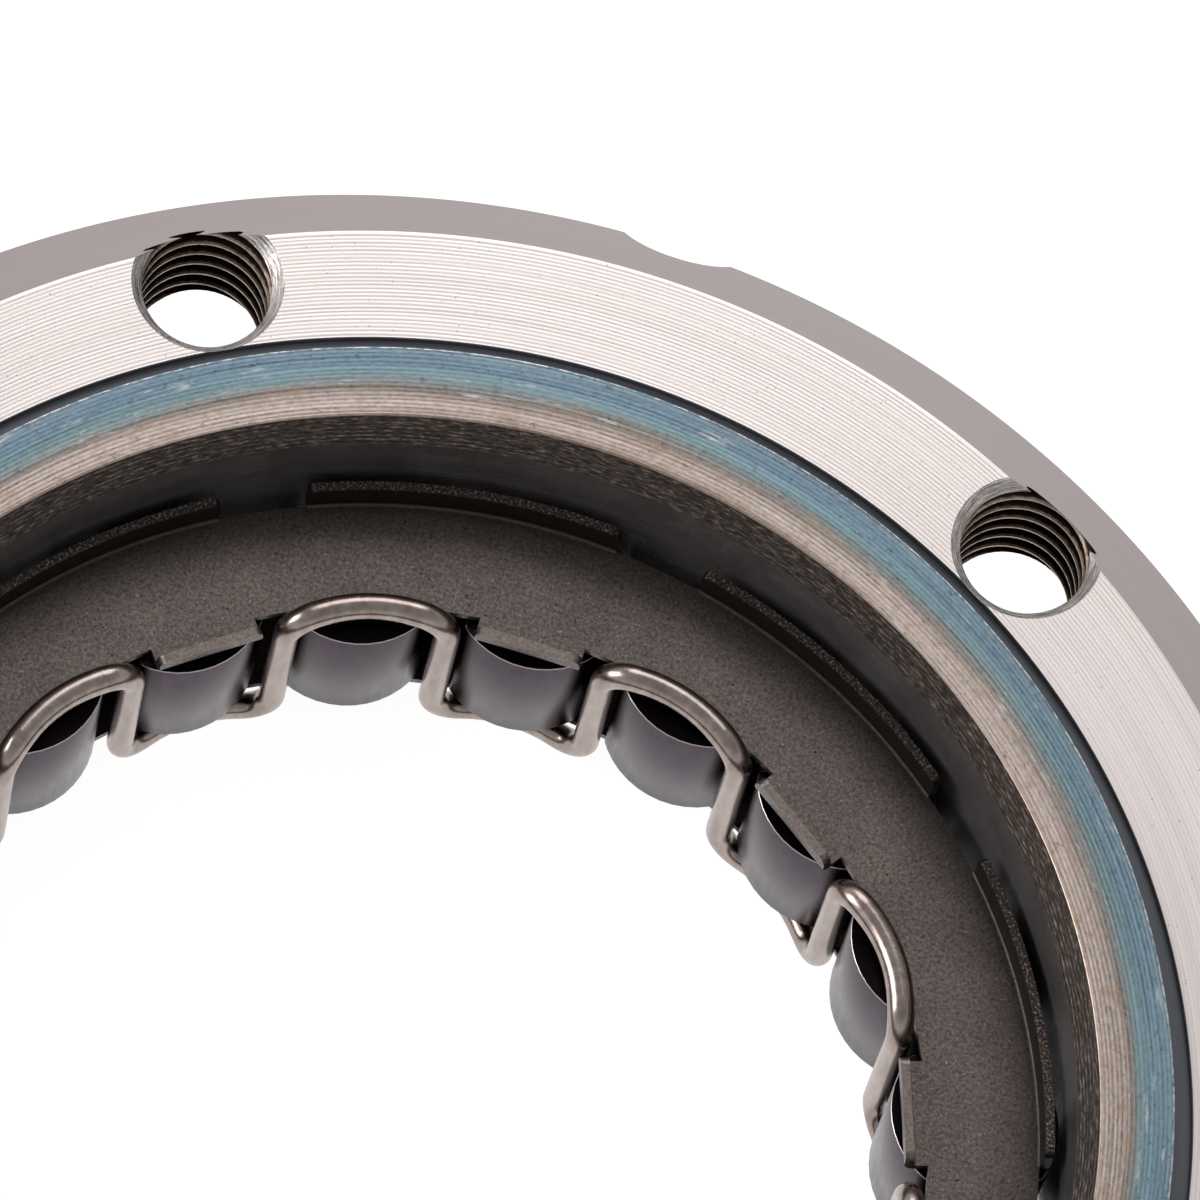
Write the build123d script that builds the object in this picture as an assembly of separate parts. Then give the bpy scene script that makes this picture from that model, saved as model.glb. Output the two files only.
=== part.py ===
"""Sprag clutch: a flanged outer race, a two-plate cage, twenty sprags and a meander spring.

Axis along Z. Z = 0 is the turned mounting face of the flange, with the threaded holes, and the
collar stands above it. Millimetres throughout.
"""
import os
from math import cos, radians, sin, sqrt, tan

from build123d import *

os.makedirs("parts", exist_ok=True)

# ---------------------------------------------------------------- races and sprag space
INNER_RACE_R = 24.85          # shaft race that the sprags grip, not part of the clutch
SPRAG_HEIGHT = 8.27           # radial height of a sprag standing at rest
RACE_FIT = 0.06               # play between the sprags at rest and the outer race
RACE_R = INNER_RACE_R + SPRAG_HEIGHT + RACE_FIT

SPRAG_COUNT = 20
PITCH = 360 / SPRAG_COUNT
CAGE_PHASE = 1.4              # where the cage happens to stand, from the hole pattern

# ---------------------------------------------------------------- meander spring, radii
WIRE_R = 0.67
WIRE_RACE_CLEARANCE = 0.23    # inner side of the wire legs to the shaft race
LEG_R = INNER_RACE_R + WIRE_RACE_CLEARANCE + WIRE_R
LEG_X = LEG_R * sin(radians(PITCH / 2))   # each leg stands this far beside the sprag's middle
LEG_FACE_X = LEG_X - WIRE_R
BEND_CENTRE_R = 1.6
ARCH_LEAN = 18.0              # how far each arch sets off outwards from the tangent

# ---------------------------------------------------------------- sprags
SPRAG_LENGTH = 8.5
SPRAG_TOP_Z = -6.0
MID_Z = SPRAG_TOP_Z - SPRAG_LENGTH / 2
CAM_R = 4.6                   # both working faces
INNER_CAM_SHIFT = -0.25       # the two cam centres stand off the radial line, which makes the wedge
OUTER_CAM_SHIFT = 0.4
LEG_CLEARANCE = 0.16
INNER_HALF_W = LEG_FACE_X - LEG_CLEARANCE
OUTER_HALF_W = INNER_HALF_W - 0.2
WAIST_HALF_W = INNER_HALF_W - 0.95
SPRAG_CORNER_R = 0.35
SPRAG_END_CHAMFER = 0.12

# ---------------------------------------------------------------- cage plates
SHEET = 0.45
SPRAG_END_PLAY = 0.25
PLATE_UNDER_Z = SPRAG_TOP_Z + SPRAG_END_PLAY
BEND_R = 0.2                  # inside radius of every bend in the sheet
PRESSED_COUNT = SPRAG_COUNT // 2

LIP_RUN_CLEARANCE = 0.63      # lips to race
LIP_R = RACE_R - LIP_RUN_CLEARANCE
LIP_H = 2.25                  # over the underside of the plate
LIP_ANGLE = 28.0
LIP_OFFSET = PITCH / 2        # from the middle of a tab to the middle of the nearest lip
LIP_STEP = 0.05               # the edge between the lips stands back from their inner side
PLATE_OUT_R = LIP_R - SHEET - LIP_STEP

SLOT_GAP = 0.18               # bore of the plate to the wire legs
PLATE_IN_R = LEG_R + WIRE_R + SLOT_GAP
TAB_RACE_CLEARANCE = 0.4
TAB_FACE_R = INNER_RACE_R + TAB_RACE_CLEARANCE
TAB_H = 1.35
TAB_LEG_CLEARANCE = 0.66
TAB_W = 2 * (LEG_FACE_X - TAB_LEG_CLEARANCE)
SHEARED_CORNER_R = 0.45

# ---------------------------------------------------------------- crossbars
BAR_RADIAL = 3.0
BAR_W = 1.5
BAR_RACE_CLEARANCE = 1.38
BAR_R = RACE_R - BAR_RACE_CLEARANCE - BAR_RADIAL / 2

# ---------------------------------------------------------------- meander spring, heights
WIRE_PLATE_GAP = 0.06
ARCH_Z = PLATE_UNDER_Z + SHEET + WIRE_PLATE_GAP + WIRE_R

# ---------------------------------------------------------------- outer ring
COLLAR_H = 1.45
COLLAR_FALL = 0.05            # the heat-tinted top of the collar falls this much to the bore
LEAD_IN = 0.92                # rough bevel from the collar's top down into the race
LEAD_IN_DROP = 1.5
MOUTH_R = RACE_R + LEAD_IN
MOUTH_Z = COLLAR_H - COLLAR_FALL
COLLAR_WALL = 3.6
COLLAR_R = MOUTH_R + COLLAR_WALL

RELIEF_W = 1.05               # turned groove at the foot of the collar
RELIEF_DEPTH = 0.4
RELIEF_R = COLLAR_R + RELIEF_W

HOLE_COUNT = 6
TAP_DRILL_R = 3.4             # M8; the thread itself is cut into this bore
COUNTERSINK_R = 3.65
COUNTERSINK_DEPTH = 0.25
HOLE_LAND = 0.1               # face left between the groove and the countersinks
HOLE_PCD_R = RELIEF_R + HOLE_LAND + COUNTERSINK_R

FACE_BEYOND_HOLES = 2.0
FACE_EDGE_R = HOLE_PCD_R + FACE_BEYOND_HOLES   # where the wide bevel meets the mounting face
BEVEL_RUN = 5.0
FLANGE_R = FACE_EDGE_R + BEVEL_RUN
FLANGE_T = 9.0
RIM_T = 2.0                   # straight rim left under the bevel
EDGE_BREAK = 0.4

HUB_WALL = 4.52
HUB_R = RACE_R + HUB_WALL
CAGE_BACK_CLEARANCE = 0.45    # back of the hub past the lips of the lower plate
HUB_DROP = -2 * MID_Z + PLATE_UNDER_Z + LIP_H + CAGE_BACK_CLEARANCE
HUB_CORNER_R = 1.5
HUB_BEVEL = 0.8

NOTCH_COUNT = 3
NOTCH_FROM = 1.5 * 360 / HOLE_COUNT   # each midway between two holes
NOTCH_R = 8.0                 # shallow scallops milled in the rim
NOTCH_DEPTH = 0.55


def save(shape, name):
    shape.label = name
    export_step(shape, f"parts/{name}.step")


def around(shape, count, first=0.0):
    """The same solid set round the axis, as separate solids."""
    return [shape.rotate(Axis.Z, first + k * 360 / count) for k in range(count)]


def turned(points, angle=360.0):
    """A radius-height outline revolved about the axis, centred on the XZ plane."""
    outline = Plane.XZ * make_face(Polyline(*points, close=True))
    solid = revolve(outline, Axis.Z, revolution_arc=angle)
    return solid if angle == 360.0 else solid.rotate(Axis.Z, -angle / 2)


def outer_ring():
    section = [
        (RACE_R, MOUTH_Z - LEAD_IN_DROP),
        (MOUTH_R, MOUTH_Z),
        (COLLAR_R, COLLAR_H),
        (COLLAR_R, -RELIEF_DEPTH),
        (RELIEF_R, -RELIEF_DEPTH),
        (RELIEF_R, 0),
        (FACE_EDGE_R, 0),
        (FLANGE_R, RIM_T - FLANGE_T),
        (FLANGE_R, -FLANGE_T + EDGE_BREAK),
        (FLANGE_R - EDGE_BREAK, -FLANGE_T),
        (HUB_R, -FLANGE_T),
        (HUB_R, -HUB_DROP + HUB_BEVEL),
        (HUB_R - HUB_BEVEL, -HUB_DROP),
        (RACE_R + HUB_BEVEL, -HUB_DROP),
        (RACE_R, -HUB_DROP + HUB_BEVEL),
    ]
    ring = turned(section)
    foot = [e for e in ring.edges() if is_circle_at(e, HUB_R, -FLANGE_T)]
    ring = fillet(foot, HUB_CORNER_R)
    groove = [e for e in ring.edges() if is_circle_at(e, COLLAR_R, -RELIEF_DEPTH)]
    groove += [e for e in ring.edges() if is_circle_at(e, RELIEF_R, -RELIEF_DEPTH)]
    ring = fillet(groove, RELIEF_DEPTH * 0.75)

    drill = Cylinder(TAP_DRILL_R, FLANGE_T + 2).locate(Pos(HOLE_PCD_R, 0, -FLANGE_T / 2))
    flare = COUNTERSINK_R - TAP_DRILL_R
    sink = Cone(TAP_DRILL_R, COUNTERSINK_R + flare, 2 * COUNTERSINK_DEPTH)
    notch_x = FLANGE_R - NOTCH_DEPTH + NOTCH_R
    notch = Cylinder(NOTCH_R, 2 * FLANGE_T).locate(Pos(notch_x, 0, -FLANGE_T / 2))
    ring -= around(drill, HOLE_COUNT)
    ring -= around(sink.locate(Pos(HOLE_PCD_R, 0, 0)), HOLE_COUNT)
    ring -= around(notch, NOTCH_COUNT, first=NOTCH_FROM)
    return ring


def is_circle_at(edge, radius, height):
    on_circle = edge.geom_type == GeomType.CIRCLE and abs(edge.radius - radius) < 1e-4
    return on_circle and abs(edge.center().Z - height) < 1e-4


def bent_strip(flat_from, face, height):
    """Section of sheet that runs flat, turns up through a bend and stands on end.

    The flat starts at radius flat_from and the standing wall has its outer side of the bend at
    radius face, so the same section serves a lip bent at the rim and a tab bent at the bore.
    """
    way = 1 if face > flat_from else -1
    inside = face - way * SHEET
    bend_centre = (inside - way * BEND_R, SHEET + BEND_R)
    low = BEND_R + SHEET
    half = sqrt(0.5)
    with BuildSketch(Plane.XZ) as strip:
        with BuildLine():
            Line((flat_from, 0), (bend_centre[0], 0))
            ThreePointArc(
                (bend_centre[0], 0),
                (bend_centre[0] + way * low * half, low - low * half),
                (face, low),
            )
            Line((face, low), (face, height))
            Line((face, height), (inside, height))
            Line((inside, height), (inside, low))
            ThreePointArc(
                (inside, low),
                (bend_centre[0] + way * BEND_R * half, low - BEND_R * half),
                (bend_centre[0], SHEET),
            )
            Line((bend_centre[0], SHEET), (flat_from, SHEET))
            Line((flat_from, SHEET), (flat_from, 0))
        make_face()
    return strip.sketch


def cage_plate(tabs):
    """One stamping, underside on Z = 0, with a tab centred on +X if it has tabs."""
    plate = extrude(Circle(PLATE_OUT_R) - Circle(PLATE_IN_R), SHEET)

    lip = revolve(bent_strip(PLATE_OUT_R - 1.2, LIP_R, LIP_H), Axis.Z, revolution_arc=LIP_ANGLE)
    lip = lip.rotate(Axis.Z, -LIP_ANGLE / 2)
    lip_ends = lip.edges().filter_by(lambda e: across_sheet(e, LIP_H))
    pressed = around(fillet(lip_ends, SHEARED_CORNER_R), PRESSED_COUNT, LIP_OFFSET)

    if tabs:
        tab = extrude(bent_strip(PLATE_IN_R + 0.6, TAB_FACE_R, TAB_H), TAB_W / 2, both=True)
        tab_ends = tab.edges().filter_by(lambda e: across_sheet(e, TAB_H))
        pressed += around(fillet(tab_ends, SHEARED_CORNER_R), PRESSED_COUNT)

    for piece in pressed:
        plate += piece
    return plate.clean()


def across_sheet(edge, height):
    """The short edges across the sheet's thickness at the top ends of a standing wall."""
    at_top = abs(edge.center().Z - height) < 1e-4
    return at_top and edge.geom_type == GeomType.LINE and abs(edge.length - SHEET) < 1e-3


def crossbars():
    """Flat bars welded between the plates, in every second gap between sprags."""
    length = SPRAG_LENGTH + 2 * SPRAG_END_PLAY
    bar = Box(BAR_RADIAL, BAR_W, length).locate(Pos(BAR_R, 0, MID_Z))
    bar = fillet(bar.edges().filter_by(Axis.Z), 0.3)
    return Compound(around(bar, PRESSED_COUNT, LIP_OFFSET + tab_angle()))


def tab_angle():
    """Direction of the first tab of the upper plate."""
    return 90 + CAGE_PHASE


def cam_corner(centre_x, centre_y, half_w, side, way):
    x = side * half_w
    return centre_x + x, centre_y + way * sqrt(CAM_R ** 2 - x ** 2)


def sprag():
    """Drawn standing on +Y. Its outer end leans to +X, its inner end to -X."""
    inner_y = INNER_RACE_R + CAM_R
    outer_y = INNER_RACE_R + SPRAG_HEIGHT - CAM_R
    inner = [cam_corner(INNER_CAM_SHIFT, inner_y, INNER_HALF_W, s, -1) for s in (-1, 1)]
    outer = [cam_corner(OUTER_CAM_SHIFT, outer_y, OUTER_HALF_W, s, 1) for s in (-1, 1)]
    waist_y = INNER_RACE_R + SPRAG_HEIGHT / 2
    with BuildSketch() as profile:
        with BuildLine():
            ThreePointArc(inner[0], (INNER_CAM_SHIFT, INNER_RACE_R), inner[1])
            ThreePointArc(inner[1], (WAIST_HALF_W, waist_y), outer[1])
            ThreePointArc(outer[1], (OUTER_CAM_SHIFT, INNER_RACE_R + SPRAG_HEIGHT), outer[0])
            ThreePointArc(outer[0], (-WAIST_HALF_W, waist_y), inner[0])
        make_face()
        fillet(profile.vertices(), SPRAG_CORNER_R)
    body = extrude(profile.sketch, SPRAG_LENGTH)
    ends = body.faces().filter_by(Axis.Z).edges()
    body = chamfer(ends, SPRAG_END_CHAMFER)
    return body.locate(Pos(0, 0, SPRAG_TOP_Z - SPRAG_LENGTH))


def wire_arch():
    """One arch of the spring over a sprag on +Y, from half way up one leg to the other."""
    leg_y = LEG_R * cos(radians(PITCH / 2))
    lean = radians(ARCH_LEAN)
    start_x = LEG_X - BEND_CENTRE_R * cos(lean)
    start_y = leg_y + BEND_CENTRE_R * sin(lean)
    apex_y = start_y + start_x * tan(lean / 2)
    bend_z = ARCH_Z - BEND_CENTRE_R
    quarter = BEND_CENTRE_R * (1 - sqrt(0.5))

    def bend(side):
        foot = Vector(side * LEG_X, leg_y, bend_z)
        mid = Vector(side * (LEG_X - quarter * cos(lean)), leg_y + quarter * sin(lean), ARCH_Z - quarter)
        return foot, mid, Vector(side * start_x, start_y, ARCH_Z)

    left, right = bend(-1), bend(1)
    path = Wire([
        Edge.make_line((-LEG_X, leg_y, MID_Z), left[0]),
        Edge.make_three_point_arc(*left),
        Edge.make_three_point_arc(left[2], (0, apex_y, ARCH_Z), right[2]),
        Edge.make_three_point_arc(*reversed(right)),
        Edge.make_line(right[0], (LEG_X, leg_y, MID_Z)),
    ])
    section = Plane((-LEG_X, leg_y, MID_Z), z_dir=(0, 0, 1)) * Circle(WIRE_R)
    return sweep(section, path=path)


def meander_spring():
    """One endless wire: arches above the sprags between the tabs, and below the others."""
    over = wire_arch()
    under = over.mirror(Plane((0, 0, MID_Z)))
    arches = around(over, PRESSED_COUNT, CAGE_PHASE + PITCH)
    arches += around(under, PRESSED_COUNT, CAGE_PHASE)
    wire = arches[0]
    return wire.fuse(*arches[1:])


def main():
    save(outer_ring(), "outer_ring")

    upper = cage_plate(tabs=True).rotate(Axis.Z, tab_angle())
    upper = upper.moved(Location((0, 0, PLATE_UNDER_Z)))
    lower = cage_plate(tabs=False).rotate(Axis.X, 180).rotate(Axis.Z, tab_angle() + PITCH)
    lower = lower.moved(Location((0, 0, 2 * MID_Z - PLATE_UNDER_Z)))
    save(upper, "upper_cage_plate")
    save(lower, "lower_cage_plate")
    save(crossbars(), "cage_crossbars")
    save(meander_spring(), "meander_spring")

    blank = sprag()
    for k, piece in enumerate(around(blank, SPRAG_COUNT, CAGE_PHASE), start=1):
        save(piece, f"sprag_{k:02d}")


main()
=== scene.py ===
from math import cos, pi, radians, sin

import bmesh
import bpy
from mathutils import Matrix, Vector


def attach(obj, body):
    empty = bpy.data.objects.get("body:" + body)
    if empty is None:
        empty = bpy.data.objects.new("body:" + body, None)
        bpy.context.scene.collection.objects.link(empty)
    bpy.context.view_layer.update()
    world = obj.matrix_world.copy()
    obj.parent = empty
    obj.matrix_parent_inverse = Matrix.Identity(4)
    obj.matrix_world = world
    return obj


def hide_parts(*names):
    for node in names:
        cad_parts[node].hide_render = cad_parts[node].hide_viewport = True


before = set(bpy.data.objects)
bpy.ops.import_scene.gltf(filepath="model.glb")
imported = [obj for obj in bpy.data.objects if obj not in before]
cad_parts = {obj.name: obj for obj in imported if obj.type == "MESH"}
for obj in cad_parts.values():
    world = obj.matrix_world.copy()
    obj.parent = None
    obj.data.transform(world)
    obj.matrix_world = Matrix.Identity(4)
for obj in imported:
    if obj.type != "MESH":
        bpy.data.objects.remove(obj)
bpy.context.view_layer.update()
mm = 0.001


# ------------------------------------------------------------------ outer ring
# One hardened steel ring. Its section is turned all round, then the rim is notched and the six
# holes are drilled, countersunk and tapped M8 through the flange.

race_r, mouth_r, collar_r, groove_r = 33.18, 34.10, 37.70, 38.75
face_edge_r, rim_r, hub_r = 44.5, 49.5, 37.7
collar_top, mouth_z, groove_z, race_z = 1.45, 1.40, -0.40, -0.10
flange_back, rim_top, hub_back = -9.0, -7.0, -17.45
ring_section = [
    (race_r, race_z), (mouth_r, mouth_z), (collar_r, collar_top), (collar_r, groove_z),
    (groove_r, groove_z), (groove_r, 0), (face_edge_r, 0), (rim_r, rim_top),
    (rim_r, flange_back + 0.4), (rim_r - 0.4, flange_back), (hub_r + 1.2, flange_back),
    (hub_r + 0.35, flange_back - 0.35), (hub_r, flange_back - 1.2), (hub_r, hub_back + 0.8),
    (hub_r - 0.8, hub_back), (race_r + 0.8, hub_back), (race_r, hub_back + 0.8),
]
broken_edge = 0.07
hole_circle_r, hole_count = 42.5, 6
crest_r, root_r, thread_pitch, crest_height = 3.23, 3.66, 1.25, -2.05
rim_of_hole_r, countersink_depth = 3.80, 0.78
thread_start = -0.70
first_notch, notch_r, notch_depth, notch_count = 89.85, 3.5, 1.52, 3
cutter_overrun = 1.0


def new_piece(name, bm, *finishes):
    mesh = bpy.data.meshes.new(name)
    bm.to_mesh(mesh)
    bm.free()
    piece = bpy.data.objects.new(name, mesh)
    bpy.context.collection.objects.link(piece)
    for finish in finishes:
        mesh.materials.append(finish)
    return piece


def turn_section(points, steps, edge):
    """A closed radius-height outline in mm, its corners broken by edge, turned all round Z."""
    bm = bmesh.new()
    corners = [bm.verts.new((r * mm, 0, z * mm)) for r, z in points]
    for a, b in zip(corners, corners[1:] + corners[:1]):
        bm.edges.new((a, b))
    bmesh.ops.bevel(bm, geom=corners, offset=edge * mm, offset_type="OFFSET", segments=2,
                    profile=0.5, affect="VERTICES", material=-1)
    bmesh.ops.spin(bm, geom=bm.verts[:] + bm.edges[:], cent=(0, 0, 0), axis=(0, 0, 1),
                   angle=2 * pi, steps=steps, use_merge=True)
    bmesh.ops.remove_doubles(bm, verts=bm.verts, dist=1e-7)
    bmesh.ops.recalc_face_normals(bm, faces=bm.faces)
    return bm


def tap(bm, x, y, top, bottom):
    """An M8 tap standing in a hole: one pitch of its form screwed round until it is through."""
    tool = bmesh.new()
    steps_per_turn = 48
    turns = int((top - bottom) / thread_pitch) + 4
    foot = crest_height - thread_pitch * (turns - 3)
    form = [(root_r, -0.74), (root_r, -0.51), (crest_r, -0.06), (crest_r, 0.06), (root_r, 0.51)]
    line = [tool.verts.new((r * mm, 0, (foot + h) * mm)) for r, h in form]
    edges = [tool.edges.new(pair) for pair in zip(line, line[1:])]
    bmesh.ops.spin(tool, geom=line + edges, cent=(0, 0, 0), axis=(0, 0, 1),
                   angle=2 * pi * turns, dvec=(0, 0, thread_pitch * mm / steps_per_turn),
                   steps=steps_per_turn * turns)
    bmesh.ops.remove_doubles(tool, verts=tool.verts, dist=2e-6)
    for level, way in ((top, 1), (bottom, -1)):
        cut = bmesh.ops.bisect_plane(tool, geom=tool.verts[:] + tool.edges[:] + tool.faces[:],
                                     dist=1e-7, plane_co=(0, 0, level * mm),
                                     plane_no=(0, 0, way), clear_outer=True)
        rim = [e for e in cut["geom_cut"] if isinstance(e, bmesh.types.BMEdge)]
        bmesh.ops.contextual_create(tool, geom=rim)
    bmesh.ops.translate(tool, verts=tool.verts, vec=(x * mm, y * mm, 0))
    bmesh.ops.recalc_face_normals(tool, faces=tool.faces)
    made = bpy.data.meshes.new("tap")
    tool.to_mesh(made)
    tool.free()
    bm.from_mesh(made)
    bpy.data.meshes.remove(made)


def cut_away(piece, cutter):
    """Cuts the cutter's volume out of the piece and throws the cutter away."""
    cut = piece.modifiers.new("cut", "BOOLEAN")
    cut.operation, cut.solver, cut.object = "DIFFERENCE", "EXACT", cutter
    bpy.context.view_layer.update()
    result = piece.evaluated_get(bpy.context.evaluated_depsgraph_get())
    mesh = bpy.data.meshes.new_from_object(result)
    piece.modifiers.clear()
    piece.data = mesh
    bpy.data.objects.remove(cutter)


class Finish:
    """The recipe of one finish: its places are in millimetres on the part."""

    def __init__(self, name):
        self.made = bpy.data.materials.new(name)
        self.made.use_nodes = True
        self.tree = self.made.node_tree
        self.steel = self.tree.nodes["Principled BSDF"]
        place = self.tree.nodes.new("ShaderNodeTexCoord").outputs["Object"]
        self.mm = self.vector("SCALE", place, scale=1000.0)
        split = self.tree.nodes.new("ShaderNodeSeparateXYZ")
        self.feed(split.inputs[0], self.mm)
        self.x, self.y, self.height = split.outputs
        self.radius = self.vector("LENGTH", self.vector("MULTIPLY", self.mm, (1, 1, 0)))

    def feed(self, socket, value):
        if isinstance(value, bpy.types.NodeSocket):
            self.tree.links.new(value, socket)
        elif value is not None:
            socket.default_value = value

    def add(self, kind, *inputs, **settings):
        node = self.tree.nodes.new(kind)
        for key, value in settings.items():
            setattr(node, key, value)
        for socket, value in zip(node.inputs, inputs):
            self.feed(socket, value)
        return node.outputs[0]

    def vector(self, operation, a, b=None, scale=None):
        node = self.tree.nodes.new("ShaderNodeVectorMath")
        node.operation = operation
        self.feed(node.inputs[0], a)
        self.feed(node.inputs[1], b)
        if scale is not None:
            node.inputs["Scale"].default_value = scale
        return node.outputs["Value" if operation == "LENGTH" else "Vector"]

    def math(self, operation, a, b=None):
        return self.add("ShaderNodeMath", a, b, operation=operation)

    def along_turning(self, across, around, up):
        """A place to read noise at, so that its marks run round the axis."""
        angle = self.math("ARCTAN2", self.y, self.x)
        place = self.add("ShaderNodeCombineXYZ", self.radius, angle, self.height)
        return self.vector("MULTIPLY", place, (across, around, up))

    def in_hole(self, circle_r, count):
        """A place measured from the middle of the nearest hole: outward, sideways, which hole."""
        around = self.math("ARCTAN2", self.y, self.x)
        which = self.math("ROUND", self.math("DIVIDE", around, 2 * pi / count))
        angle = self.math("SUBTRACT", around, self.math("MULTIPLY", which, 2 * pi / count))
        out = self.math("MULTIPLY", self.radius, self.math("COSINE", angle))
        aside = self.math("MULTIPLY", self.radius, self.math("SINE", angle))
        return self.math("SUBTRACT", out, circle_r), aside, which

    def noise(self, where, scale, detail=3.0, rough=0.55):
        node = self.tree.nodes.new("ShaderNodeTexNoise")
        self.feed(node.inputs["Vector"], where)
        for key, value in (("Scale", scale), ("Detail", detail), ("Roughness", rough)):
            node.inputs[key].default_value = value
        return node.outputs[0]

    def spread(self, value, low, high, to_low=0.0, to_high=1.0):
        return self.add("ShaderNodeMapRange", value, low, high, to_low, to_high)

    def bands(self, value, low, high, stops):
        """Colours that change along the value, from stops of (value, colour)."""
        node = self.tree.nodes.new("ShaderNodeValToRGB")
        ramp = node.color_ramp.elements
        while len(ramp) < len(stops):
            ramp.new(0.5)
        for element, (at, colour) in zip(ramp, stops):
            element.position = (at - low) / (high - low)
            element.color = (*colour, 1)
        self.feed(node.inputs[0], self.spread(value, low, high))
        return node.outputs[0]

    def mix(self, factor, a, b, blend="MIX"):
        node = self.tree.nodes.new("ShaderNodeMix")
        node.data_type, node.blend_type = "RGBA", blend
        self.feed(node.inputs[0], factor)
        self.feed(node.inputs[6], a if isinstance(a, bpy.types.NodeSocket) else (*a, 1))
        self.feed(node.inputs[7], b if isinstance(b, bpy.types.NodeSocket) else (*b, 1))
        return node.outputs[2]

    def shade(self, colour, marks, low, high, dark, light):
        """Makes the colour darker or lighter by the marks."""
        level = self.spread(marks, low, high, dark, light)
        grey = self.add("ShaderNodeCombineXYZ", level, level, level)
        return self.mix(1.0, colour, grey, "MULTIPLY")

    def pits(self, size, share):
        """0 on sound metal and 1 in a share of small round pits."""
        node = self.tree.nodes.new("ShaderNodeTexVoronoi")
        self.feed(node.inputs["Vector"], self.mm)
        node.inputs["Scale"].default_value = 0.45 / size
        near = self.spread(node.outputs["Distance"], 0.16, 0.26, 1.0, 0.0)
        chance = self.add("ShaderNodeSeparateColor", node.outputs["Color"])
        chosen = self.spread(chance, 1 - share, 1 - share + 0.02)
        return self.math("MULTIPLY", near, chosen)

    def bump(self, marks, depth, below=None):
        node = self.tree.nodes.new("ShaderNodeBump")
        node.inputs["Distance"].default_value = depth * mm
        self.feed(node.inputs["Height"], marks)
        self.feed(node.inputs["Normal"], below)
        return node.outputs[0]

    def done(self, colour, rough, normal, metallic=1.0):
        self.feed(self.steel.inputs["Base Color"], colour)
        self.feed(self.steel.inputs["Roughness"], rough)
        self.steel.inputs["Metallic"].default_value = metallic
        self.feed(self.steel.inputs["Normal"], normal)
        return self.made


def colour_of(r, g, b):
    return tuple(((c / 255 + 0.055) / 1.055) ** 2.4 for c in (r, g, b))


def turned(name, light, dark, line_pitch, rough, depth, speck_share=0.03, ridge=0.10,
           metal=1.0):
    """Lathe marks that run round the axis, a little uneven from line to line."""
    f = Finish(name)
    lines = f.noise(f.along_turning(1.0 / line_pitch, 0.9, 0.8 / line_pitch), 1.0, 2.0, 0.6)
    ridges = f.math("SINE", f.math("MULTIPLY", f.radius, 2 * pi / line_pitch))
    clouds = f.noise(f.along_turning(0.3, 2.2, 0.3), 1.0, 3.0)
    grain = f.noise(f.mm, 8.0, 2.0, 0.7)
    toned = f.math("ADD", f.math("MULTIPLY", ridges, ridge * 0.4), f.math("MULTIPLY", lines, 0.5))
    toned = f.math("ADD", toned, f.math("MULTIPLY", clouds, 0.3))
    toned = f.math("ADD", toned, f.math("MULTIPLY", grain, 0.25))
    colour = f.mix(f.spread(toned, 0.25, 0.80), dark, light)
    specks = f.pits(0.09, speck_share)
    colour = f.mix(f.math("MULTIPLY", specks, 0.6), colour, tuple(c * 0.2 for c in dark))
    cut = f.math("ADD", f.math("MULTIPLY", ridges, ridge), f.math("MULTIPLY", lines, 0.8))
    cut = f.math("ADD", cut, f.math("MULTIPLY", grain, 0.3))
    rough_marks = f.spread(cut, 0.2, 0.8, rough - 0.05, rough + 0.05)
    return f.done(colour, rough_marks, f.bump(cut, depth), metal)


face_finish = turned("turned_face", colour_of(238, 230, 227), colour_of(208, 198, 195),
                     0.205, 0.36, 0.008, 0.05, 0.19)
# Painted shade: the bevel is the same turned steel as the face, given a darker colour for the light
# it gets.
bevel_finish = turned("turned_bevel_painted_shade", colour_of(148, 136, 134), colour_of(128, 115, 113),
                      0.45, 0.38, 0.0015, 0.01)
back_finish = turned("turned_back", colour_of(178, 170, 166), colour_of(140, 132, 129),
                     0.30, 0.38, 0.003)
groove_finish = turned("turned_groove", colour_of(100, 103, 110), colour_of(86, 89, 96),
                       0.20, 0.50, 0.0015, 0.0, 0.1, 0.15)

f = Finish("heat_tinted_collar")
drift = f.noise(f.along_turning(1.1, 2.6, 0.5), 1.0, 5.0, 0.62)
place = f.math("ADD", f.radius, f.spread(drift, 0.0, 1.0, -0.60, 0.60))
tint = f.bands(place, 34.0, 38.0, [
    (34.0, colour_of(168, 150, 140)), (34.4, colour_of(190, 175, 167)),
    (35.2, colour_of(180, 166, 158)), (35.5, colour_of(146, 136, 129)),
    (35.85, colour_of(140, 146, 146)), (36.2, colour_of(126, 148, 154)),
    (36.9, colour_of(112, 134, 150)), (37.5, colour_of(124, 142, 156))])
fine = f.noise(f.along_turning(6.0, 1.4, 1.0), 1.0, 3.0, 0.7)
ridges = f.math("SINE", f.math("MULTIPLY", f.radius, 2 * pi / 0.22))
speckle = f.noise(f.along_turning(7.0, 90.0, 7.0), 1.0, 3.0, 0.7)
marks = f.math("ADD", f.math("MULTIPLY", fine, 0.6), f.math("MULTIPLY", ridges, 0.09))
marks = f.math("ADD", marks, f.math("MULTIPLY", speckle, 0.45))
colour = f.shade(tint, marks, 0.30, 0.76, 0.42, 1.50)
teal = f.spread(f.noise(f.along_turning(1.6, 3.0, 1.0), 1.0, 4.0, 0.7), 0.45, 0.65)
outer_band = f.spread(place, 35.8, 36.2)
colour = f.mix(f.math("MULTIPLY", f.math("MULTIPLY", teal, outer_band), 0.4), colour,
               colour_of(138, 166, 172))
# Painted highlight: near-white streaks across the collar stand in for reflected light.
highlight_streaks = f.spread(f.noise(f.along_turning(2.2, 10.0, 1.0), 1.0, 6.0, 0.72), 0.60, 0.72)
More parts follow.
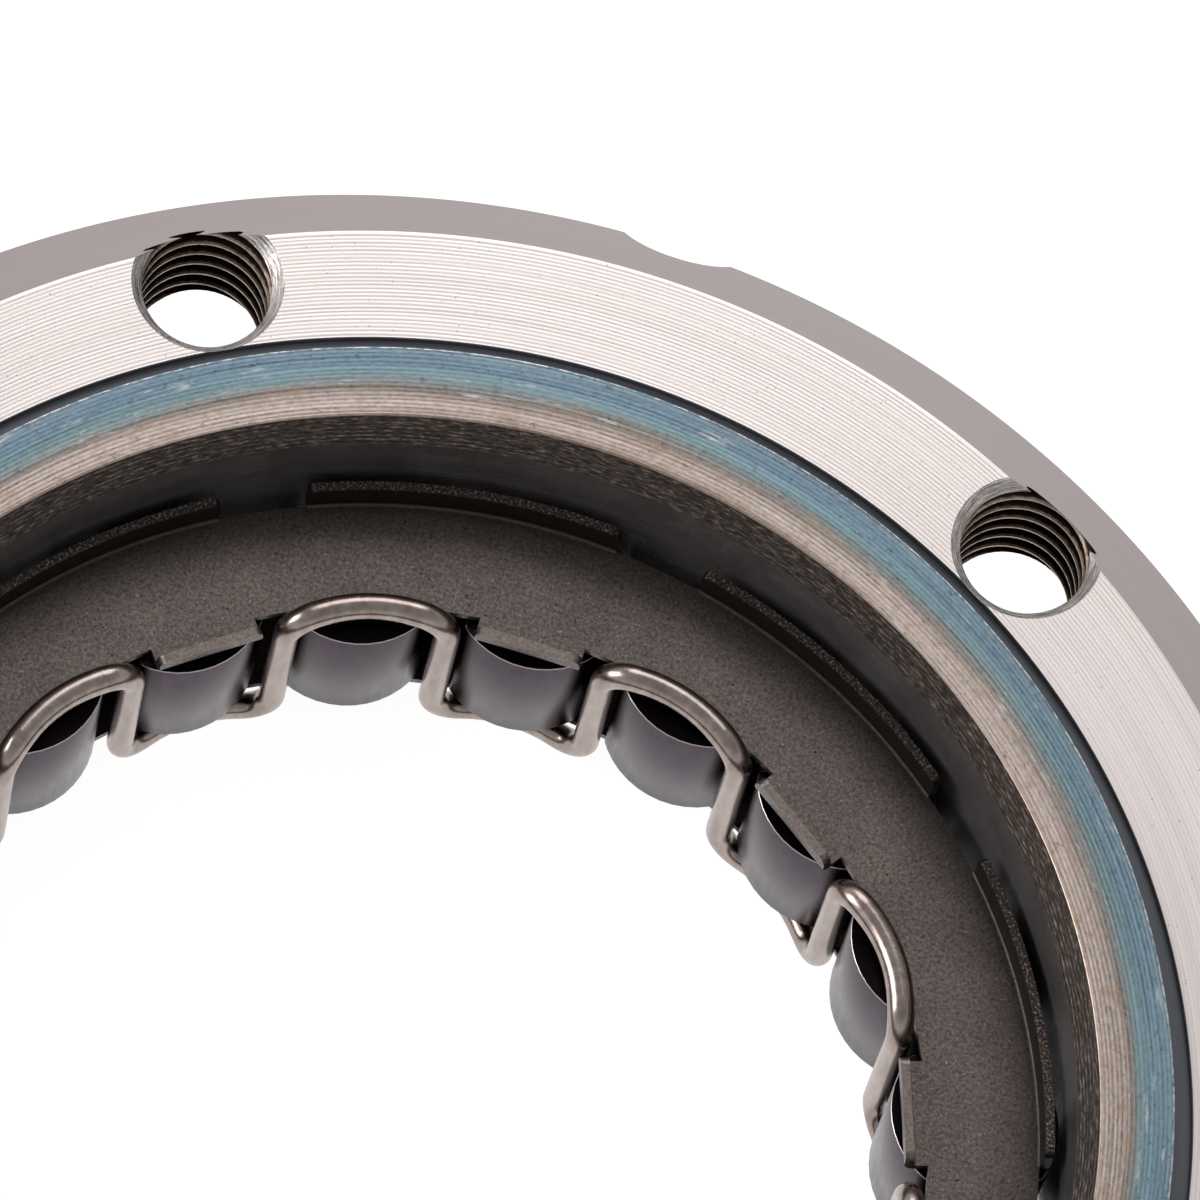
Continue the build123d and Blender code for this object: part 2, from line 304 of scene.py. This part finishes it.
colour = f.mix(f.math("MULTIPLY", highlight_streaks, 0.75), colour, colour_of(225, 222, 218))
inner_band = f.spread(place, 35.5, 35.9, 1.0, 0.0)
stains = f.spread(f.noise(f.mm, 0.7, 5.0, 0.7), 0.52, 0.66)
stains = f.math("MULTIPLY", stains, f.math("MULTIPLY", inner_band, 0.55))
colour = f.mix(stains, colour, colour_of(160, 134, 110))
dirt = f.spread(f.noise(f.along_turning(3.0, 60.0, 3.0), 1.0, 5.0, 0.8), 0.58, 0.66)
colour = f.mix(f.math("MULTIPLY", dirt, 0.6), colour, colour_of(66, 58, 54))
# A real burr along the collar's outer edge, painted near-white as a painted highlight.
burr_highlight = f.spread(f.radius, 37.58, 37.64)
colour = f.mix(f.math("MULTIPLY", burr_highlight, f.spread(speckle, 0.45, 0.6)), colour,
               colour_of(220, 218, 214))
collar_finish = f.done(colour, f.spread(marks, 0.2, 0.8, 0.30, 0.44), f.bump(marks, 0.004))

f = Finish("rough_lead_in")
scale_marks = f.noise(f.along_turning(11.0, 60.0, 11.0), 1.0, 4.0, 0.7)
ridges = f.math("SINE", f.math("MULTIPLY", f.radius, 2 * pi / 0.13))
worn = f.spread(f.noise(f.along_turning(0.8, 1.6, 0.3), 1.0, 3.0, 0.6), 0.40, 0.62)
marks = f.math("ADD", scale_marks, f.math("MULTIPLY", f.math("MULTIPLY", ridges, worn), 0.06))
colour = f.bands(marks, 0.2, 0.9, [
    (0.20, colour_of(24, 20, 18)), (0.44, colour_of(54, 47, 43)), (0.56, colour_of(84, 75, 69)),
    (0.70, colour_of(150, 139, 130))])
blue = f.spread(f.noise(f.mm, 0.9, 4.0, 0.7), 0.60, 0.75)
colour = f.mix(f.math("MULTIPLY", blue, 0.35), colour, colour_of(70, 86, 98))
lead_in_finish = f.done(colour, 0.45, f.bump(marks, 0.014), 0.8)

f = Finish("ground_race")
streaks = f.noise(f.along_turning(1.0, 3.0, 14.0), 1.0, 3.0)
stains = f.spread(f.noise(f.mm, 0.35, 4.0, 0.65), 0.42, 0.62)
colour = f.mix(f.spread(streaks, 0.3, 0.7), colour_of(112, 106, 105), colour_of(132, 126, 126))
colour = f.mix(f.math("MULTIPLY", stains, 0.5), colour, colour_of(84, 78, 77))
race_finish = f.done(colour, f.spread(streaks, 0.2, 0.8, 0.18, 0.26), f.bump(streaks, 0.0006), 0.55)

f = Finish("cut_thread_painted_shade")
out, aside, _ = f.in_hole(hole_circle_r, hole_count)
from_middle = f.vector("LENGTH", f.add("ShaderNodeCombineXYZ", out, aside, 0.0))
grain = f.noise(f.mm, 3.0, 4.0, 0.65)
# Painted light and shade: the colour runs from light on the crests to near black in the roots, by
# the distance from the hole's axis, for the shade deep in the thread.
depth_for_painted_shade = f.math("ADD", from_middle, f.spread(grain, 0.2, 0.8, -0.05, 0.05))
colour = f.bands(depth_for_painted_shade, 3.2, 3.9, [
    (3.20, colour_of(190, 174, 158)), (3.29, colour_of(150, 134, 120)),
    (3.35, colour_of(44, 32, 28)), (3.50, colour_of(14, 10, 10)), (3.9, colour_of(8, 6, 6))])
rust = f.spread(f.noise(f.mm, 0.8, 3.0, 0.6), 0.52, 0.66)
colour = f.mix(f.math("MULTIPLY", rust, 0.5), colour, colour_of(58, 32, 24))
thread_finish = f.done(colour, 0.40, f.bump(grain, 0.02))

f = Finish("cut_countersink")
out, aside, which_hole = f.in_hole(hole_circle_r, hole_count)
round_hole = f.math("ARCTAN2", aside, out)
place = f.add("ShaderNodeCombineXYZ", f.math("MULTIPLY", f.height, 9.0),
              f.math("MULTIPLY", round_hole, 2.2), f.math("MULTIPLY", which_hole, 7.0))
scratches = f.noise(place, 1.0, 5.0, 0.75)
colour = f.bands(scratches, 0.2, 0.8, [
    (0.20, colour_of(50, 44, 42)), (0.38, colour_of(110, 102, 98)),
    (0.48, colour_of(200, 192, 187)), (0.60, colour_of(245, 241, 238))])
countersink_finish = f.done(colour, 0.32, f.bump(scratches, 0.06))

ring_finishes = [face_finish, bevel_finish, groove_finish, collar_finish, lead_in_finish,
                 race_finish, back_finish, thread_finish, countersink_finish]
FACE, BEVEL, GROOVE, COLLAR, LEAD_IN, RACE, BACK, THREAD, COUNTERSINK = range(9)

body = turn_section(ring_section, 360, broken_edge)
for part in body.faces:
    middle = part.calc_center_median()
    r, z = middle.xy.length / mm, middle.z / mm
    if r < race_r + 0.02 and z > hub_back + 1:
        part.material_index = RACE
    elif r < mouth_r - 0.03 and z > race_z - 0.1:
        part.material_index = LEAD_IN
    elif r < collar_r + 0.001 and z > mouth_z - 0.1:
        part.material_index = COLLAR
    elif r < groove_r + 0.05 and z > groove_z - 0.1:
        part.material_index = GROOVE
    elif z > -0.05:
        part.material_index = FACE
    elif r > face_edge_r - 0.1 and z > rim_top - 0.05:
        part.material_index = BEVEL
    else:
        part.material_index = BACK
    part.smooth = False
ring = new_piece("flanged_race", body, *ring_finishes)

hole_places = [(hole_circle_r * cos(radians(60 * k)), hole_circle_r * sin(radians(60 * k)))
               for k in range(hole_count)]
cutters = bmesh.new()
above_face = 0.3
tip_r = crest_r - 0.05
for x, y in hole_places:
    tall = countersink_depth + above_face
    shank_r = tip_r + (rim_of_hole_r - tip_r) * tall / countersink_depth
    place = Matrix.Translation((x * mm, y * mm, (above_face - countersink_depth) / 2 * mm))
    bmesh.ops.create_cone(cutters, cap_ends=True, segments=72, radius1=tip_r * mm,
                          radius2=shank_r * mm, depth=tall * mm, matrix=place)
for part in cutters.faces:
    part.material_index = COUNTERSINK
mill_length = 14.0
for k in range(notch_count):
    turn = Matrix.Rotation(radians(first_notch + 360 / notch_count * k), 4, "Z")
    place = turn @ Matrix.Translation(((rim_r - notch_depth + notch_r) * mm, 0, -5 * mm))
    made = bmesh.ops.create_cone(cutters, cap_ends=True, segments=160, radius1=notch_r * mm,
                                 radius2=notch_r * mm, depth=mill_length * mm, matrix=place)
    for part in {p for v in made["verts"] for p in v.link_faces}:
        part.material_index = BEVEL
cut_away(ring, new_piece("countersinks_and_notches", cutters, *ring_finishes))

taps = bmesh.new()
for x, y in hole_places:
    tap(taps, x, y, thread_start, flange_back - cutter_overrun)
for part in taps.faces:
    part.material_index = THREAD
cut_away(ring, new_piece("taps", taps, *ring_finishes))
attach(ring, "outer_ring")
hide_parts("outer_ring")


# ------------------------------------------------------------------ cage plates
# Two thin stamped steel plates with lips bent up along the race, welded to crossbars that hold
# them apart. The upper one has low tabs bent up at its bore over every second sprag. They are
# tumbled, so they are matte and dark; painted glints fleck them, and painted shade darkens them
# towards the race and on the lips.

cage_middle = -10.25
under_lip, lip_top = (4.94, 5.04), (6.58, 6.68)
inside_lips, outside_tabs, tab_foot = (31.4, 31.7), (26.3, 26.45), (-4.52, -4.44)

f = Finish("tumbled_cage_steel")
grain = f.noise(f.mm, 5.5, 3.0, 0.75)
clouds = f.noise(f.mm, 0.35, 3.0, 0.5)
colour = f.mix(f.spread(clouds, 0.3, 0.7), colour_of(94, 86, 82), colour_of(104, 95, 91))
colour = f.shade(colour, grain, 0.34, 0.66, 0.52, 1.50)
# Painted glints: small light flecks stand in for sparkle off the tumbled steel.
painted_glints = f.spread(f.noise(f.mm, 9.0, 2.0, 0.5), 0.66, 0.74)
colour = f.mix(f.math("MULTIPLY", painted_glints, 0.55), colour, colour_of(186, 176, 168))
# Painted shade: the plates darken towards the race wall, where its shade falls.
painted_shade_by_race = f.spread(f.radius, 28.8, 32.0, 0.0, 0.62)
colour = f.mix(painted_shade_by_race, colour, colour_of(44, 36, 32))
colour = f.mix(f.math("MULTIPLY", f.pits(0.13, 0.06), 0.85), colour, colour_of(22, 18, 17))
from_middle = f.math("ABSOLUTE", f.math("SUBTRACT", f.height, cage_middle))
# Painted shade on the inner wall and bend of the lips.
lip_painted_shade = f.math("MULTIPLY", f.spread(f.radius, *inside_lips), f.spread(from_middle, *under_lip))
colour = f.mix(lip_painted_shade, colour, colour_of(50, 45, 43))
torn = f.noise(f.along_turning(8.0, 230.0, 8.0), 1.0, 4.0, 0.7)
torn_colour = f.bands(torn, 0.3, 0.8, [
    (0.3, colour_of(24, 20, 19)), (0.48, colour_of(58, 52, 48)), (0.56, colour_of(92, 84, 78)),
    (0.66, colour_of(176, 166, 156))])
colour = f.mix(f.spread(from_middle, *lip_top), colour, torn_colour)
on_tab = f.math("MULTIPLY", f.spread(f.radius, *outside_tabs, 1.0, 0.0),
                f.spread(f.height, *tab_foot))
sheared = f.noise(f.mm, 5.0, 4.0, 0.7)
tab_colour = f.mix(f.spread(sheared, 0.3, 0.7), colour_of(90, 81, 76), colour_of(142, 131, 124))
colour = f.mix(on_tab, colour, tab_colour)
cage_finish = f.done(colour, 0.40, f.bump(torn, 0.004, f.bump(grain, 0.012)), 0.85)
for node in ("upper_cage_plate", "lower_cage_plate", "cage_crossbars"):
    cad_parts[node].data.materials.clear()
    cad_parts[node].data.materials.append(cage_finish)


# ------------------------------------------------------------------ meander spring
# One endless drawn steel wire that winds up and down between the sprags and arches over every
# second one, fairly bright, with light draw lines.

f = Finish("drawn_spring_wire")
draw = f.noise(f.vector("MULTIPLY", f.mm, (1.6, 1.6, 0.35)), 1.2, 3.0, 0.55)
colour = f.mix(f.spread(draw, 0.3, 0.7), colour_of(146, 132, 126), colour_of(174, 160, 153))
nicks = f.math("MULTIPLY", f.spread(f.noise(f.mm, 3.2, 4.0, 0.8), 0.66, 0.72),
               f.spread(f.noise(f.mm, 0.5, 2.0), 0.5, 0.62))
colour = f.mix(f.math("MULTIPLY", nicks, 0.7), colour, colour_of(50, 42, 38))
wire_finish = f.done(colour, f.spread(draw, 0.2, 0.8, 0.22, 0.29), f.bump(draw, 0.002))
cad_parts["meander_spring"].data.materials.clear()
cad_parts["meander_spring"].data.materials.append(wire_finish)


# ------------------------------------------------------------------ sprags
# Twenty drawn and hardened steel prisms, cut off to length, with a rounded working face at each
# end. They are smooth and dark, with small pits; painted shade darkens their sides and their cut
# ends to near black, and a thin painted highlight runs round each end.

shaft_r, sprag_height, cam_r = 24.85, 8.27, 4.6
sprag_top, sprag_foot, sprag_corner, sprag_edge = -6.0, -14.5, 0.30, 0.06
inner_cam_x, outer_cam_x, waist_half_w = -0.25, 0.4, 2.25
inner_corners, outer_corners = (-3.43, 4.05), (-2.60, 3.40)
sprag_count, first_sprag = 20, 1.4


def on_cam(cam_x, x, inner):
    rise = (cam_r ** 2 - (x - cam_x) ** 2) ** 0.5
    return x, (shaft_r + cam_r - rise) if inner else (shaft_r + sprag_height - cam_r + rise)


def arc_through(bm, a, b, c):
    """An arc from a over b to c at the height of the sprag's foot, spun from the corner a."""
    (ax, ay), (bx, by), (cx, cy) = a, b, c
    d = 2 * (ax * (by - cy) + bx * (cy - ay) + cx * (ay - by))
    ux = ((ax * ax + ay * ay) * (by - cy) + (bx * bx + by * by) * (cy - ay)
          + (cx * cx + cy * cy) * (ay - by)) / d
    uy = ((ax * ax + ay * ay) * (cx - bx) + (bx * bx + by * by) * (ax - cx)
          + (cx * cx + cy * cy) * (bx - ax)) / d
    centre = Vector((ux, uy))
    turn = (Vector(c) - centre).angle_signed(Vector(a) - centre)
    corner = bm.verts.new((ax * mm, ay * mm, sprag_foot * mm))
    bmesh.ops.spin(bm, geom=[corner], cent=(ux * mm, uy * mm, 0), axis=(0, 0, 1), angle=turn,
                   steps=14)


f = Finish("hardened_sprag_steel")
satin = f.noise(f.vector("MULTIPLY", f.mm, (1.0, 1.0, 0.35)), 1.4, 4.0, 0.6)
colour = f.mix(f.spread(satin, 0.3, 0.7), colour_of(65, 56, 64), colour_of(79, 69, 77))
# Painted shade: the sprags darken towards their sides, next to the wire legs.
around = f.math("SUBTRACT", f.math("ARCTAN2", f.y, f.x), radians(90 + first_sprag))
step = f.math("ROUND", f.math("DIVIDE", around, 2 * pi / sprag_count))
side_shade_distance = f.math("SUBTRACT", around, f.math("MULTIPLY", step, 2 * pi / sprag_count))
side_shade_distance = f.math("MULTIPLY", f.math("ABSOLUTE", side_shade_distance), f.radius)
colour = f.mix(f.spread(side_shade_distance, 2.3, 3.3), colour, colour_of(46, 40, 45))
colour = f.mix(f.math("MULTIPLY", f.pits(0.11, 0.07), 0.85), colour, colour_of(24, 20, 23))
# Painted highlight: a thin near-white line on the chamfer round each end. Painted shade: the cut
# end faces are near black.
height_for_rim_highlight_and_end_shade = f.math("ABSOLUTE", f.math("SUBTRACT", f.height, cage_middle))
colour = f.mix(f.spread(height_for_rim_highlight_and_end_shade, 4.195, 4.21), colour, colour_of(205, 197, 193))
colour = f.mix(f.spread(height_for_rim_highlight_and_end_shade, 4.238, 4.246), colour, colour_of(26, 23, 24))
sprag_finish = f.done(colour, f.spread(satin, 0.2, 0.8, 0.24, 0.36), f.bump(satin, 0.003))

for k in range(sprag_count):
    bm = bmesh.new()
    left, right = (on_cam(inner_cam_x, x, True) for x in inner_corners)
    top_left, top_right = (on_cam(outer_cam_x, x, False) for x in outer_corners)
    waist = shaft_r + sprag_height / 2
    arc_through(bm, left, (inner_cam_x, shaft_r), right)
    arc_through(bm, right, (waist_half_w, waist), top_right)
    arc_through(bm, top_right, (outer_cam_x, shaft_r + sprag_height), top_left)
    arc_through(bm, top_left, (-waist_half_w, waist), left)
    bmesh.ops.remove_doubles(bm, verts=bm.verts, dist=1e-6)
    foot = bmesh.ops.contextual_create(bm, geom=bm.edges[:])["faces"]
    corners = [v for v in bm.verts if min((v.co.xy / mm - Vector(p)).length for p in
                                          (left, right, top_left, top_right)) < 0.01]
    bmesh.ops.bevel(bm, geom=corners, offset=sprag_corner * mm, offset_type="OFFSET",
                    segments=5, profile=0.5, affect="VERTICES", material=-1)
    raised = bmesh.ops.extrude_face_region(bm, geom=bm.faces[:])["geom"]
    bmesh.ops.translate(bm, verts=[v for v in raised if isinstance(v, bmesh.types.BMVert)],
                        vec=(0, 0, (sprag_top - sprag_foot) * mm))
    rims = [e for e in bm.edges if abs(e.verts[0].co.z - e.verts[1].co.z) < 1e-6]
    bmesh.ops.bevel(bm, geom=rims, offset=sprag_edge * mm, segments=2, profile=0.5,
                    affect="EDGES", material=-1)
    bmesh.ops.recalc_face_normals(bm, faces=bm.faces)
    bmesh.ops.rotate(bm, verts=bm.verts, cent=(0, 0, 0),
                     matrix=Matrix.Rotation(radians(first_sprag + 360 / sprag_count * k), 3, "Z"))
    for part in bm.faces:
        part.smooth = len(part.verts) == 4
    piece = new_piece("drawn_sprag_%02d" % (k + 1), bm, sprag_finish)
    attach(piece, "sprag_%02d" % (k + 1))
    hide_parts("sprag_%02d" % (k + 1))


# ------------------------------------------------------------------ floor, light and camera
# The clutch stands on a plain white bench under soft lamps.

bench = bmesh.new()
bmesh.ops.create_grid(bench, x_segments=8, y_segments=8, size=3.0,
                      matrix=Matrix.Translation((0, 0, -17.46 * mm)))
f = Finish("white_bench")
f.tree.nodes.remove(f.steel)
paint = f.tree.nodes.new("ShaderNodeBsdfDiffuse")
paint.inputs["Color"].default_value = (0.30, 0.30, 0.30, 1)
glow = f.tree.nodes.new("ShaderNodeEmission")
ray = f.tree.nodes.new("ShaderNodeLightPath")
seen = f.math("MAXIMUM", f.math("MAXIMUM", ray.outputs["Is Camera Ray"],
                                ray.outputs["Is Glossy Ray"]), ray.outputs["Is Transmission Ray"])
f.feed(glow.inputs["Strength"], f.math("MULTIPLY", seen, 0.93))
both = f.tree.nodes.new("ShaderNodeAddShader")
f.feed(both.inputs[0], paint.outputs[0])
f.feed(both.inputs[1], glow.outputs[0])
f.feed(f.tree.nodes["Material Output"].inputs["Surface"], both.outputs[0])
new_piece("bench", bench, f.made)

world = bpy.data.worlds.new("studio")
bpy.context.scene.world = world
world.use_nodes = True
tree = world.node_tree
ray = tree.nodes.new("ShaderNodeLightPath")
way = tree.nodes.new("ShaderNodeSeparateXYZ")
tree.links.new(tree.nodes.new("ShaderNodeTexCoord").outputs["Generated"], way.inputs[0])
horizon, high_up, horizon_level, high_level = 0.0, 0.75, 1.0, 0.40
overhead = tree.nodes.new("ShaderNodeMapRange")
tree.links.new(way.outputs[2], overhead.inputs[0])
for socket, value in zip(overhead.inputs[1:5], (horizon, high_up, horizon_level, high_level)):
    socket.default_value = value
in_gloss = tree.nodes.new("ShaderNodeMix")
tree.links.new(ray.outputs["Is Glossy Ray"], in_gloss.inputs[0])
in_gloss.inputs[2].default_value = 0.45
tree.links.new(overhead.outputs[0], in_gloss.inputs[3])
level = tree.nodes.new("ShaderNodeMix")
tree.links.new(ray.outputs["Is Camera Ray"], level.inputs[0])
tree.links.new(in_gloss.outputs[0], level.inputs[2])
level.inputs[3].default_value = 1.0
tree.links.new(level.outputs[0], tree.nodes["Background"].inputs["Strength"])
tree.nodes["Background"].inputs["Color"].default_value = (1, 1, 1, 1)


def lamp(name, place, size, power):
    light = bpy.data.lights.new(name, "AREA")
    light.shape, light.size, light.energy = "SQUARE", size, power
    made = bpy.data.objects.new(name, light)
    made.location = place
    made.rotation_euler = Vector(place).to_track_quat("Z", "Y").to_euler()
    bpy.context.collection.objects.link(made)


lamp("left_lamp", (-0.66, -0.10, 0.36), 0.40, 3.0)
lamp("back_lamp", (-0.10, 0.58, 0.58), 0.50, 1.9)

camera = bpy.data.cameras.new("camera")
camera.lens, camera.sensor_width, camera.clip_end = 357.97949, 36, 10
view = bpy.data.objects.new("camera", camera)
view.location = (0.00954531, -0.19605463, 0.54074874)
view.rotation_euler = [radians(a) for a in (21.62370173, -6.12348954, 16.98099246)]
bpy.context.collection.objects.link(view)
bpy.context.scene.camera = view
bpy.context.scene.view_settings.view_transform = "Standard"
